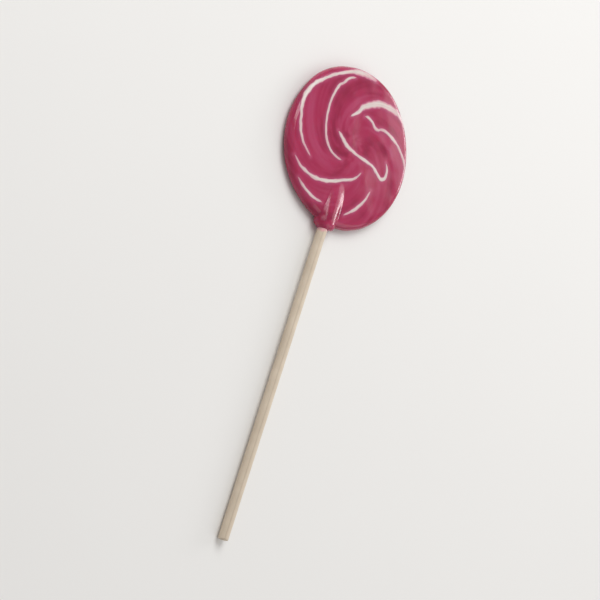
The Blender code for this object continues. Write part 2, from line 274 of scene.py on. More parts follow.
class CandyShape:
    """The candy's surface as a function of two numbers: the bearing, and the distance walked over the
    surface from the middle of the face, round the edge, to the middle of the back."""

    # The half section: places on each of its four stretches, places that it is then walked in, and how
    # many of those the rounding off takes in.
    STRETCH_PLACES = 400
    WALKED_PLACES = 4000
    ROUNDED_PLACES = 121

    # The welt: how far it goes in past the stick's inner end, the length of its nose, the collar that
    # creeps along the stick, the height that it starts at, and the fillet where it meets the round.
    PAST_STICK = 3 * MM
    NOSE_LENGTH = 8 * MM
    COLLAR_LENGTH = 0.45 * MM
    COLLAR_THICKNESS = 0.28 * MM
    WELT_LOWEST = 0.1 * MM
    FILLET = 0.7 * MM

    # The search for the welt's surface: how far out it looks, and how often it halves that.
    FARTHEST = 12 * MM
    HALVINGS = 26

    # The face's waves, and how far down a ray points where the back begins and where it is all back.
    LONG_WAVE = 14 * MM
    SHORT_WAVE = 6 * MM
    SHORT_WAVE_SHARE = 0.3
    BACK_BEGINS = 0.5
    ALL_BACK = 0.95

    # The slope into the back's dish, and the share of it that the waves change.
    DISH_SLOPE = 0.8 * MM
    DISH_UNEVEN = 0.12

    # The mould's seam: its thickness, its mean height and unevenness as shares, the length of that
    # unevenness in radians, and the distances from the stick where it starts and where it is whole.
    SEAM_THICKNESS = 0.20 * MM
    SEAM_MEAN = 0.75
    SEAM_UNEVEN = 0.35
    SEAM_WAVE = 0.35
    SEAM_STARTS = 4 * MM
    SEAM_WHOLE = 7 * MM

    # The random draws of the long waves, the short waves and the seam's unevenness.
    LONG_SEED = 4
    SHORT_SEED = 9
    SEAM_SEED = 12

    # The spacing of the places along a swirl's line, and the step that a normal is measured over.
    ROUTE_STEP = 0.22 * MM
    NORMAL_STEP = 0.08 * MM

    def __init__(self, settings):
        self.candy = settings.candy
        self.stick = settings.stick
        self.distance, self.radius, self.height = self.half_section()
        # the distances walked to the widest line and to the middle of the back
        self.edge = float(self.rising()[1][-1])
        self.total = float(self.distance[-1])

    def half_section(self):
        """Distance walked, radius and height. The crown falls as the square of the radius, the shoulder
        and heel are quarter ellipses, and the back is flat. Where they meet is rounded off."""
        c = self.candy
        flat = c.radius - c.shoulder
        foot = c.radius - c.heel
        top = c.thickness - c.crown
        run = np.linspace(0, 1, self.STRETCH_PLACES)
        angle = run * TURN / 4
        radius = np.concatenate(
            (flat * run, flat + c.shoulder * np.sin(angle), foot + c.heel * np.cos(angle), foot * (1 - run))
        )
        height = np.concatenate(
            (
                c.thickness - c.crown * run**2,
                c.widest + (top - c.widest) * np.cos(angle),
                c.widest * (1 - np.sin(angle)),
                0 * run,
            )
        )
        walked = walked_along(np.column_stack((radius, height)))
        even = np.linspace(0, walked[-1], self.WALKED_PLACES)
        radius = self.rounded_off(np.interp(even, walked, radius), -1)
        height = self.rounded_off(np.interp(even, walked, height), 1)
        radius[[0, -1]] = 0
        return even, radius, height

    def rounded_off(self, line, sign):
        """The line's moving average under a raised cosine. Past each end the line goes on as its mirror
        image, turned upside down where the sign is -1."""
        window = np.hanning(self.ROUNDED_PLACES)
        window /= window.sum()
        reach = len(window)
        before = line[0] + sign * (line[1 : reach + 1] - line[0])[::-1]
        after = line[-1] + sign * (line[-reach - 1 : -1] - line[-1])[::-1]
        return np.convolve(np.concatenate((before, line, after)), window, "same")[reach:-reach]

    def rising(self):
        """Radius and distance walked on the face's side of the widest line."""
        widest = int(np.argmax(self.radius))
        return self.radius[: widest + 1], self.distance[: widest + 1]

    def falling(self):
        """Radius and distance walked on the back's side of the widest line, from the middle outward."""
        widest = int(np.argmax(self.radius))
        return self.radius[widest:][::-1], self.distance[widest:][::-1]

    def slope(self):
        """How far the stick tips down for each metre out, so that its far end clears the surface below."""
        s = self.stick
        drop = s.height - s.radius - s.clearance
        return drop / math.sqrt((s.length - s.let_in) ** 2 - drop**2)

    def in_welt(self, places):
        """Whether each place is inside the welt: an ellipse across the stick that narrows to a nose
        inside the candy, ends in a rounded lip, and creeps up the stick in a fine collar."""
        c, s = self.candy, self.stick
        across = places[..., 0]
        out = -places[..., 1] - c.radius
        up = places[..., 2] - s.height + out * self.slope()
        reach = np.hypot(across / c.welt_spread, up)
        inward = self.NOSE_LENGTH - self.PAST_STICK - s.let_in - out
        nose = np.clip(inward / self.NOSE_LENGTH, 0, 1)
        narrowed = c.welt_height * np.sqrt(1 - nose**2)
        lip = c.lip * np.sqrt(np.clip(1 - (reach / c.welt_height) ** 4, 0, 1))
        off_stick = np.maximum(np.hypot(across, up) - s.radius, 0)
        collar = self.COLLAR_LENGTH * np.exp(-off_stick / self.COLLAR_THICKNESS)
        return (reach < narrowed) & (out < lip + collar) & (places[..., 2] > self.WELT_LOWEST)

    def to_welt(self, start, ray):
        """How far along each ray the welt's surface is, found by halving, and -1 where a ray starts
        outside it."""
        low = np.zeros(start.shape[:-1])
        high = np.full_like(low, self.FARTHEST)
        for _ in range(self.HALVINGS):
            middle = (low + high) / 2
            inside = self.in_welt(start + ray * middle[..., None])
            low = np.where(inside, middle, low)
            high = np.where(inside, high, middle)
        return np.where(self.in_welt(start), low, -1.0)

    def relief(self, surface, heading, ray, radius):
        """Fine height along each ray: waves over the face, a shallow dish in the back, and the mould's
        seam round the edge, a bell curve of the height over the widest line."""
        c = self.candy
        ripple = waves(surface, self.LONG_WAVE, self.LONG_SEED)
        ripple += self.SHORT_WAVE_SHARE * waves(surface, self.SHORT_WAVE, self.SHORT_SEED)
        under = smooth_step(-ray[..., 2], self.BACK_BEGINS, self.ALL_BACK)
        dished = under * smooth_step(c.radius - c.heel - radius, 0, self.DISH_SLOPE)
        line = np.exp(-(((surface[..., 2] - c.widest) / self.SEAM_THICKNESS) ** 2))
        flash = self.SEAM_MEAN + self.SEAM_UNEVEN * waves(heading, self.SEAM_WAVE, self.SEAM_SEED)
        outward = np.hypot(ray[..., 0], ray[..., 1])
        from_stick = np.hypot(surface[..., 0], surface[..., 1] + c.radius)
        seam = c.seam * line * flash * outward * smooth_step(from_stick, self.SEAM_STARTS, self.SEAM_WHOLE)
        return c.ripple * ripple * (1 - under) - c.dish * dished * (1 + self.DISH_UNEVEN * ripple) + seam

    def at(self, bearing, walked):
        """Points of the surface. Each is pushed from the candy's mid-plane, or round the edge from the
        shoulder's centre line, out to the smoothly joined round and welt and the fine relief on them."""
        c = self.candy
        radius = np.interp(walked, self.distance, self.radius)
        height = np.interp(walked, self.distance, self.height)
        stretch = 1 + sum(
            share * np.cos(lobes * (bearing - math.radians(turn))) for lobes, share, turn in OUTLINE_LOBES
        )
        heading = np.stack((np.cos(bearing), np.sin(bearing)), -1)
        plan = heading * (radius * stretch)[..., None]
        height = height * (1 + c.wedge * plan[..., 1] / c.radius)
        surface = np.concatenate((plan, height[..., None]), -1)
        inner = np.minimum(radius, c.radius - c.shoulder) * stretch
        start = np.concatenate((heading * inner[..., None], np.full_like(height, c.widest)[..., None]), -1)
        ray = surface - start
        reach = np.linalg.norm(ray, axis=-1)
        ray /= reach[..., None]
        reach = smooth_max(reach, self.to_welt(start, ray), self.FILLET)
        reach += self.relief(surface, heading, ray, radius)
        points = start + ray * reach[..., None]
        points[..., 2] = np.maximum(points[..., 2], 0)
        return points

    def on_side(self, flat, back):
        """Points of the surface from places on one side rolled out flat, where the distance from the
        middle is the distance walked. The back is rolled out as it is looked at from below."""
        across = -flat[..., 0] if back else flat[..., 0]
        walked = np.hypot(flat[..., 0], flat[..., 1])
        return self.at(np.arctan2(flat[..., 1], across), self.total - walked if back else walked)

    def normals_on_side(self, flat, back):
        """Outward unit normals at places on one side rolled out flat, from two short steps over the
        surface."""
        here = self.on_side(flat, back)
        along_x = self.on_side(flat + (self.NORMAL_STEP, 0), back) - here
        along_y = self.on_side(flat + (0, self.NORMAL_STEP), back) - here
        normal = np.cross(along_x, along_y)
        return normal / np.linalg.norm(normal, axis=-1)[..., None]

    def routes(self, swirls, turn, back):
        """Each swirl's smooth line on its side rolled out flat, as rows of x, y, width and share of
        white."""
        found = []
        for swirl in swirls:
            places = np.array(swirl, float)
            bearing = np.radians(places[:, 0] + turn)
            reach = places[:, 1] * self.candy.radius
            if back:
                walked = self.total - np.interp(reach, *self.falling())
            else:
                walked = np.interp(reach, *self.rising())
            x, y = np.cos(bearing) * walked, np.sin(bearing) * walked
            knots = np.column_stack((x, y, places[:, 2] * MM, places[:, 3]))
            found.append(smooth_line(knots, self.ROUTE_STEP))
        return found


def ringed_mesh(name, rings, first, last, attributes):
    """A closed mesh from rings of points, shaped (ring, around, 3), with one point closing each end. Its
    faces look outward where each next ring is further along the right-hand turn of the points around
    it."""
    count, around = rings.shape[:2]
    points = np.vstack((rings.reshape(-1, 3), first, last))
    ring, step = np.meshgrid(np.arange(count - 1), np.arange(around), indexing="ij")
    here, beside = ring * around + step, ring * around + (step + 1) % around
    quads = np.stack((here, beside, beside + around, here + around), -1).reshape(-1, 4)
    step = np.arange(around)
    beside = (step + 1) % around
    first_at, last_at = count * around, count * around + 1
    last_ring = (count - 1) * around
    start_fan = np.stack((np.full(around, first_at), beside, step), -1)
    end_fan = np.stack((np.full(around, last_at), last_ring + step, last_ring + beside), -1)
    corners = np.concatenate((quads.ravel(), start_fan.ravel(), end_fan.ravel()))
    sizes = np.concatenate((np.full(len(quads), 4), np.full(2 * around, 3)))
    starts = np.concatenate(([0], np.cumsum(sizes)[:-1]))
    mesh = bpy.data.meshes.new(name)
    mesh.vertices.add(len(points))
    mesh.vertices.foreach_set("co", points.astype(np.float32).ravel())
    mesh.loops.add(len(corners))
    mesh.loops.foreach_set("vertex_index", corners.astype(np.int32))
    mesh.polygons.add(len(sizes))
    mesh.polygons.foreach_set("loop_start", starts.astype(np.int32))
    mesh.update(calc_edges=True)
    mesh.validate()
    mesh.shade_smooth()
    for title, values in attributes.items():
        kind, field = ("FLOAT_VECTOR", "vector") if values.ndim == 2 else ("FLOAT", "value")
        layer = mesh.attributes.new(title, kind, "POINT")
        layer.data.foreach_set(field, values.astype(np.float32).ravel())
    return mesh


def place(name, mesh, material, node):
    """Puts a finished piece in the scene, in place of the CAD node that it stands for."""
    mesh.materials.append(material)
    piece = bpy.data.objects.new(name, mesh)
    bpy.context.scene.collection.objects.link(piece)
    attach(piece, "root")
    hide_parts(node)


def add_node(tree, kind, values=(), links=(), **settings):
    """One node with its settings, the values of its sockets, and the outputs that feed them."""
    node = tree.nodes.new(kind)
    for key, value in settings.items():
        setattr(node, key, value)
    for key, value in dict(values).items():
        node.inputs[key].default_value = value
    for key, source in dict(links).items():
        tree.links.new(source, node.inputs[key])
    return node


def new_material(name):
    """A material with its node tree and its one shader."""
    material = bpy.data.materials.new(name)
    material.use_nodes = True
    return material, material.node_tree, material.node_tree.nodes["Principled BSDF"]


def mixed(tree, share, first, second):
    """The colour output of a mix from first to second, each a colour or an output."""
    node = add_node(tree, "ShaderNodeMix", data_type="RGBA")
    factor_in, first_in, second_in = node.inputs[0], node.inputs[6], node.inputs[7]
    tree.links.new(share, factor_in)
    for socket, colour in ((first_in, first), (second_in, second)):
        if isinstance(colour, bpy.types.NodeSocket):
            tree.links.new(colour, socket)
        else:
            socket.default_value = colour
    return node.outputs[2]


def boiled_sugar(settings):
    """Boiled sugar candy, pressed hot in a polished mould: a glassy, slightly cloudy body that light
    sinks into, so the edge glows. The white that was pulled through it leaves soft paler streaks that
    follow the swirl."""
    material, tree, shader = new_material("boiled_sugar_raspberry")
    candy = settings.candy
    spot = add_node(tree, "ShaderNodeTexCoord")

    # paler streaks along the swirl, and a milky edge beside each white line
    streak, milk = (
        add_node(tree, "ShaderNodeAttribute", attribute_name=name, attribute_type="GEOMETRY")
        for name in ("streak", "milk")
    )
    streaks = add_node(
        tree, "ShaderNodeTexNoise", {"Scale": 1.0, "Detail": 2.0, "Roughness": 0.45},
        {"Vector": streak.outputs["Vector"]},
    )
    pale = add_node(
        tree, "ShaderNodeMapRange", {"From Min": 0.45, "From Max": 0.8, "To Max": 0.45},
        {"Value": streaks.outputs["Fac"]}, interpolation_type="SMOOTHSTEP",
    )
    paler = add_node(
        tree, "ShaderNodeMath", {}, {0: pale.outputs["Result"], 1: milk.outputs["Fac"]}, operation="MAXIMUM"
    )

    # deeper colour between the streaks, in clouds about 9 mm across
    cloud = add_node(
        tree, "ShaderNodeTexNoise", {"Scale": 1 / (9 * MM), "Detail": 2.0},
        {"Vector": spot.outputs["Object"]},
    )
    body = add_node(
        tree, "ShaderNodeMath", {1: 1.4}, {0: streaks.outputs["Fac"], 2: cloud.outputs["Fac"]},
        operation="MULTIPLY_ADD",
    )
    depth = add_node(
        tree, "ShaderNodeMapRange", {"From Min": 1.3, "From Max": 0.85, "To Max": 0.85},
        {"Value": body.outputs["Value"]}, interpolation_type="SMOOTHSTEP",
    )
    clear = mixed(tree, depth.outputs["Result"], tuple(candy.colour), tuple(candy.deep))
    coloured = mixed(tree, paler.outputs["Value"], clear, tuple(candy.milky))
    tree.links.new(coloured, shader.inputs["Base Color"])

    # a glassy skin, a little duller in patches about 3 mm across
    haze = add_node(
        tree, "ShaderNodeTexNoise", {"Scale": 1 / (3 * MM), "Detail": 4.0},
        {"Vector": spot.outputs["Object"]},
    )
    gloss = add_node(
        tree, "ShaderNodeMapRange", {"From Min": 0.3, "From Max": 0.75, "To Min": 0.09, "To Max": 0.2},
        {"Value": haze.outputs["Fac"]},
    )
    tree.links.new(gloss.outputs["Result"], shader.inputs["Roughness"])

    # fine unevenness under 1 mm long, and the pits of small bubbles about 1.7 mm apart
    grain = add_node(
        tree, "ShaderNodeTexNoise", {"Scale": 1 / (0.9 * MM), "Detail": 3.0},
        {"Vector": spot.outputs["Object"]},
    )
    bubbles = add_node(
        tree, "ShaderNodeTexVoronoi", {"Scale": 1 / (1.7 * MM), "Randomness": 1.0},
        {"Vector": spot.outputs["Object"]},
    )
    pits = add_node(
        tree, "ShaderNodeMapRange", {"From Min": 0.05, "From Max": 0.16},
        {"Value": bubbles.outputs["Distance"]}, interpolation_type="SMOOTHSTEP",
    )
    skin = add_node(
        tree, "ShaderNodeMath", {1: 0.25}, {0: grain.outputs["Fac"], 2: pits.outputs["Result"]},
        operation="MULTIPLY_ADD",
    )
    bump = add_node(
        tree, "ShaderNodeBump", {"Strength": 0.35, "Distance": 0.03 * MM}, {"Height": skin.outputs["Value"]}
    )
    tree.links.new(bump.outputs["Normal"], shader.inputs["Normal"])

    # red light goes deepest into raspberry syrup, about 2 mm
    shader.inputs["IOR"].default_value = 1.5
    shader.inputs["Subsurface Weight"].default_value = 0.8
    shader.inputs["Subsurface Radius"].default_value = (1.0, 0.22, 0.32)
    shader.inputs["Subsurface Scale"].default_value = 2.2 * MM
    return material


def pulled_sugar(settings):
    """White pulled sugar: air worked in by pulling makes it opaque and satiny, with fine lines along it.
    The pink shows through where it is thin."""
    material, tree, shader = new_material("pulled_sugar_white")
    swirls = settings.swirls
    cover, grain = (
        add_node(tree, "ShaderNodeAttribute", attribute_name=name, attribute_type="GEOMETRY")
        for name in ("cover", "grain")
    )
    lines = add_node(
        tree, "ShaderNodeTexNoise", {"Scale": 1.0, "Detail": 3.0, "Roughness": 0.6},
        {"Vector": grain.outputs["Vector"]},
    )

    # from milky pink through blush to white, as the cover thickens unevenly
    uneven = add_node(
        tree, "ShaderNodeMath", {1: 0.5, 2: -0.25}, {0: lines.outputs["Fac"]}, operation="MULTIPLY_ADD"
    )
    covered = add_node(
        tree, "ShaderNodeMath", {}, {0: cover.outputs["Fac"], 1: uneven.outputs["Value"]}, operation="ADD"
    )
    veil = add_node(
        tree, "ShaderNodeMapRange", {"From Min": 0.05, "From Max": 0.35},
        {"Value": covered.outputs["Value"]}, interpolation_type="SMOOTHSTEP",
    )
    thick = add_node(
        tree, "ShaderNodeMapRange", {"From Min": 0.25, "From Max": 1.05},
        {"Value": covered.outputs["Value"]}, interpolation_type="SMOOTHSTEP",
    )
    thin = mixed(tree, veil.outputs["Result"], tuple(settings.candy.milky), tuple(swirls.blush))
    coloured = mixed(tree, thick.outputs["Result"], thin, tuple(swirls.white))
    tree.links.new(coloured, shader.inputs["Base Color"])

    # satin along the pulled lines
    satin = add_node(
        tree, "ShaderNodeMapRange", {"From Min": 0.3, "From Max": 0.7, "To Min": 0.22, "To Max": 0.36},
        {"Value": lines.outputs["Fac"]},
    )
    tree.links.new(satin.outputs["Result"], shader.inputs["Roughness"])
    bump = add_node(
        tree, "ShaderNodeBump", {"Strength": 0.3, "Distance": 0.03 * MM}, {"Height": lines.outputs["Fac"]}
    )
    tree.links.new(bump.outputs["Normal"], shader.inputs["Normal"])
    shader.inputs["IOR"].default_value = 1.5
    shader.inputs["Subsurface Weight"].default_value = 0.5
    shader.inputs["Subsurface Radius"].default_value = (1.0, 0.6, 0.6)
    shader.inputs["Subsurface Scale"].default_value = 0.5 * MM
    return material


def rolled_paper(settings):
    """Uncoated paper rolled tight into a rod: matt, with fine fibres along it, one straight overlap with
    painted shade along its edge, and a pink glossy tide mark where it took up syrup beside the candy."""
    material, tree, shader = new_material("rolled_paper")
    stick = settings.stick
    spot = add_node(tree, "ShaderNodeTexCoord")
    # the tide mark's wetness, and the painted shade along the overlap's edge
    wet, edge = (
        add_node(tree, "ShaderNodeAttribute", attribute_name=name, attribute_type="GEOMETRY")
        for name in ("wet", "edge")
    )

    # fibres 0.35 mm apart, drawn eight times as long as wide along the stick, in patches about 6 mm across
    lengthwise = add_node(
        tree, "ShaderNodeMapping", {"Scale": (1.0, 0.12, 1.0)}, {"Vector": spot.outputs["Object"]}
    )
    fibres = add_node(
        tree, "ShaderNodeTexNoise", {"Scale": 1 / (0.35 * MM), "Detail": 4.0, "Roughness": 0.65},
        {"Vector": lengthwise.outputs["Vector"]},
    )
    patches = add_node(
        tree, "ShaderNodeTexNoise", {"Scale": 1 / (6 * MM), "Detail": 2.0},
        {"Vector": spot.outputs["Object"]},
    )
    tone = add_node(
        tree, "ShaderNodeMath", {1: 0.6}, {0: fibres.outputs["Fac"], 2: patches.outputs["Fac"]},
        operation="MULTIPLY_ADD",
    )
    shade = add_node(
        tree, "ShaderNodeMapRange", {"From Min": 0.55, "From Max": 1.05, "To Max": 0.45},
        {"Value": tone.outputs["Value"]},
    )
    # darker where the fibres lie thick, plus painted shade along the overlap's edge in place of the step's
    # shadow
    darker = add_node(
        tree, "ShaderNodeMath", {1: 0.55}, {0: edge.outputs["Fac"], 2: shade.outputs["Result"]},
        operation="MULTIPLY_ADD", use_clamp=True,
    )
    paper = mixed(tree, darker.outputs["Value"], tuple(stick.paper), tuple(stick.fibre_and_shade))
    coloured = mixed(tree, wet.outputs["Fac"], paper, tuple(stick.stain))
    tree.links.new(coloured, shader.inputs["Base Color"])

    # matt where it is dry, glossy where syrup soaked in
    dry = add_node(
        tree, "ShaderNodeMapRange", {"To Min": 0.62, "To Max": 0.2}, {"Value": wet.outputs["Fac"]}
    )
    tree.links.new(dry.outputs["Result"], shader.inputs["Roughness"])
    bump = add_node(
        tree, "ShaderNodeBump", {"Strength": 0.35, "Distance": 0.04 * MM}, {"Height": fibres.outputs["Fac"]}
    )
    tree.links.new(bump.outputs["Normal"], shader.inputs["Normal"])
    shader.inputs["Subsurface Weight"].default_value = 0.15
    shader.inputs["Subsurface Radius"].default_value = (1.0, 0.8, 0.6)
    shader.inputs["Subsurface Scale"].default_value = 0.3 * MM
    return material


def matt_board(settings):
    """Matt pale board: plain, with no gloss, and a faint unevenness of tone about 12 cm across."""
    material, tree, shader = new_material("pale_board")
    spot = add_node(tree, "ShaderNodeTexCoord")
    tone = add_node(
        tree, "ShaderNodeTexNoise", {"Scale": 8.0, "Detail": 2.0}, {"Vector": spot.outputs["Object"]}
    )
    pale = tuple(settings.stage.floor)
    darker = (*(0.97 * channel for channel in pale[:3]), 1.0)
    tree.links.new(mixed(tree, tone.outputs["Fac"], pale, darker), shader.inputs["Base Color"])
    shader.inputs["Roughness"].default_value = 0.9
    shader.inputs["Specular IOR Level"].default_value = 0.1
    return material


def nearness(points, lines, every=3, batches=40):
    """For each point, the distance to the nearest swirl's edge, less than zero over the swirl itself. Of
    each line every third place is enough, and the points are taken in batches to save memory."""
    nearest = np.full(len(points), 1.0)
    for line in lines:
        places = line[None, ::every]
        for some in np.array_split(np.arange(len(points)), batches):
            away = np.linalg.norm(points[some, None, :] - places[..., :2], axis=-1) - places[..., 2] / 2
            nearest[some] = np.minimum(nearest[some], away.min(1))
    return nearest


class LOLLIPOP_OT_candy(bpy.types.Operator):
    """Make the pressed candy with its welt over the stick"""

    bl_idname = "lollipop.candy"
    bl_label = "Candy"

    # Points in each ring, the stick's bearing, how strongly they crowd towards it, and rings over the
    # face, edge and back.
    AROUND = 560
    STICK_BEARING = -TURN / 4
    CROWDING = 0.6
    FACE_RINGS = 56
    EDGE_RINGS = 66
    BACK_RINGS = 30

    # How far before the widest line the edge's fine rings start, how far past it they end, and how far
    # the first and the last ring of all are from the middles of the face and the back.
    BEFORE_WIDEST = 4.2 * MM
    PAST_WIDEST = 3.2 * MM
    FIRST_RING = 0.3 * MM
    LAST_RING = 0.4 * MM

    # The streaks: the distance in which they wind one radian, how many lie abreast, the width of the
    # middle where they draw together, and the distance over which each one changes.
    WINDING = 11 * MM
    ABREAST = 3.2
    DRAWN_IN = 7 * MM
    STREAK_LENGTH = 26 * MM

    # How milky the candy is against a swirl, and the distance in which that fades.
    MILKINESS = 0.75
    MILK_WIDTH = 0.45 * MM

    def execute(self, context):
        settings = context.scene.lollipop
        shape = CandyShape(settings)
        turn = np.arange(self.AROUND) / self.AROUND * TURN
        bearing = self.STICK_BEARING + turn - self.CROWDING * np.sin(turn)
        start, stop = shape.edge - self.BEFORE_WIDEST, shape.edge + self.PAST_WIDEST
        walked = np.concatenate(
            (
                np.linspace(self.FIRST_RING, start, self.FACE_RINGS, endpoint=False),
                np.linspace(start, stop, self.EDGE_RINGS, endpoint=False),
                np.linspace(stop, shape.total - self.LAST_RING, self.BACK_RINGS),
            )
        )
        bearings, distances = np.meshgrid(bearing, walked)
        rings = shape.at(bearings, distances)
        first, last = shape.at(np.zeros(2), np.array((0.0, shape.total)))
        bearings = np.append(bearings.ravel(), (0.0, 0.0))
        distances = np.append(distances.ravel(), (0.0, shape.total))
        attributes = {
            "streak": self.streaks(shape, bearings, distances),
            "milk": self.milk(shape, bearings, distances),
        }
        mesh = ringed_mesh("pressed_candy", rings, first, last, attributes)
        mesh.flip_normals()
        place(mesh.name, mesh, boiled_sugar(settings), "candy")
        return {"FINISHED"}

    def streaks(self, shape, bearing, walked):
        """Coordinates that follow the streaks: they wind with the distance walked, fan out from both
        middles, and change slowly along their length."""
        unwound = bearing + walked / self.WINDING
        from_middle = np.minimum(walked, shape.total - walked)
        abreast = self.ABREAST * (1 - np.exp(-from_middle / self.DRAWN_IN))
        return np.column_stack(
            (abreast * np.cos(unwound), abreast * np.sin(unwound), walked / self.STREAK_LENGTH)
        )

    def milk(self, shape, bearing, walked):
        """How milky the candy is: it falls off exponentially from the edges of the swirls on both sides."""
        milk = np.zeros(len(walked))
        for side, swirls, turned in SIDES:
            back = side == "back"
            away = shape.total - walked if back else walked
            flip = -1 if back else 1
            flat = np.column_stack((flip * np.cos(bearing) * away, np.sin(bearing) * away))
            near = nearness(flat, shape.routes(swirls, turned, back))
            milk = np.maximum(milk, self.MILKINESS * np.exp(-np.maximum(near, 0) / self.MILK_WIDTH))
        return milk


class LOLLIPOP_OT_swirls(bpy.types.Operator):
    """Make the white swirls of both faces"""

    bl_idname = "lollipop.swirls"
    bl_label = "Swirls"

    # The section: how many half widths from the middle it reaches, its points over the top and
    # underneath, and how far under the face the underside hangs, as a share of the relief.
    REACH = 1.3
    TOP_POINTS = 19
    UNDER_POINTS = 9
    HANGING = 0.6

    # The lengths of a swirl's pointed end and of the stretch where it sinks in, and how far it sinks, as
    # a share of the relief.
    POINT_LENGTH = 1.2 * MM
    SINK_LENGTH = 1.5 * MM
    SINKING = 0.5

    # Hand-pulled unevenness: the share of the width and the length of its waves, and how far the middle
    # wanders.
    WIDTH_WAVES = ((0.10, 6 * MM), (0.06, 2.5 * MM))
    WANDERING = 0.04 * MM
    WANDER_LENGTH = 4 * MM

    # The white thins from the first to the second of these places, in half widths from the middle.
    THINS_FROM = 0.35
    THINS_TO = 1.05

    # The pulled lines' length and spacing.
    LINE_LENGTH = 5 * MM
    LINE_SPACING = 0.4 * MM

    # From one swirl's random draws to the next one's.
    SEED_STEP = 31

    def execute(self, context):
        settings = context.scene.lollipop
        shape = CandyShape(settings)
        sugar = pulled_sugar(settings)
        for side, swirls, turned in SIDES:
            back = side == "back"
            for number, line in enumerate(shape.routes(swirls, turned, back), 1):
                seed = self.SEED_STEP * number + back
                mesh = self.swirl(shape, settings.swirls, line, back, f"white_swirl_{side}_{number}", seed)
                place(mesh.name, mesh, sugar, f"swirl_{side}_{number}")
        return {"FINISHED"}

    def section(self, sizes):
        """Places across the swirl in half widths, and their heights over the face. The top is one less
        the square of the place, so it dips under the face past the swirl's edge, and the underside is
        half an ellipse."""
        top = np.linspace(-self.REACH, self.REACH, self.TOP_POINTS)
        under = np.linspace(self.REACH, -self.REACH, self.UNDER_POINTS)[1:-1]
        hang = self.HANGING * sizes.relief + sizes.depth * np.sqrt(1 - (under / self.REACH) ** 2)
        return np.concatenate((top, under)), np.concatenate((sizes.relief * (1 - top**2), -hang))

    def swirl(self, shape, sizes, line, back, name, seed):
        """The lens-shaped section carried along the line over the candy's surface, tapering to a point
        at each end by the square root of the distance to it."""
        walked = walked_along(line[:, :2])
        ahead = np.gradient(line[:, :2], axis=0)
        ahead /= np.linalg.norm(ahead, axis=1)[:, None]
        aside = np.column_stack((-ahead[:, 1], ahead[:, 0]))
        to_end = np.minimum(walked, walked[-1] - walked)
        taper = np.clip(to_end / self.POINT_LENGTH, 0, 1) ** 0.5
        uneven = 1 + sum(
            share * waves(walked[:, None], length, seed + number)
            for number, (share, length) in enumerate(self.WIDTH_WAVES)
        )
        half = line[:, 2] / 2 * taper * uneven
        wander = self.WANDERING * waves(walked[:, None], self.WANDER_LENGTH, seed + len(self.WIDTH_WAVES))

        section, lift = self.section(sizes)
        offset = section[None, :] * half[:, None] + wander[:, None]
        flat = line[:, None, :2] + aside[:, None, :] * offset[..., None]
        sink = self.SINKING * sizes.relief * (1 - smooth_step(to_end, 0, self.SINK_LENGTH))
        raised = lift[None, :] * np.where(lift > 0, taper[:, None], 1) - sink[:, None]
        rings = shape.on_side(flat, back) + shape.normals_on_side(flat, back) * raised[..., None]
        rings[..., 2] = np.maximum(rings[..., 2], 0)
        first, last = rings[[0, -1]].mean(1)

        cover = line[:, 3:] * (1 - smooth_step(np.abs(section), self.THINS_FROM, self.THINS_TO))[None, :]
        grain = np.stack(
            np.broadcast_arrays(walked[:, None] / self.LINE_LENGTH, offset / self.LINE_SPACING, seed), -1
        )
        attributes = {
            "cover": np.append(cover[1:-1].ravel(), (0, 0)),
            "grain": np.vstack((grain[1:-1].reshape(-1, 3), grain[0, :1], grain[-1, :1])),
        }
        mesh = ringed_mesh(name, rings[1:-1], first, last, attributes)
        mesh.flip_normals()
        return mesh


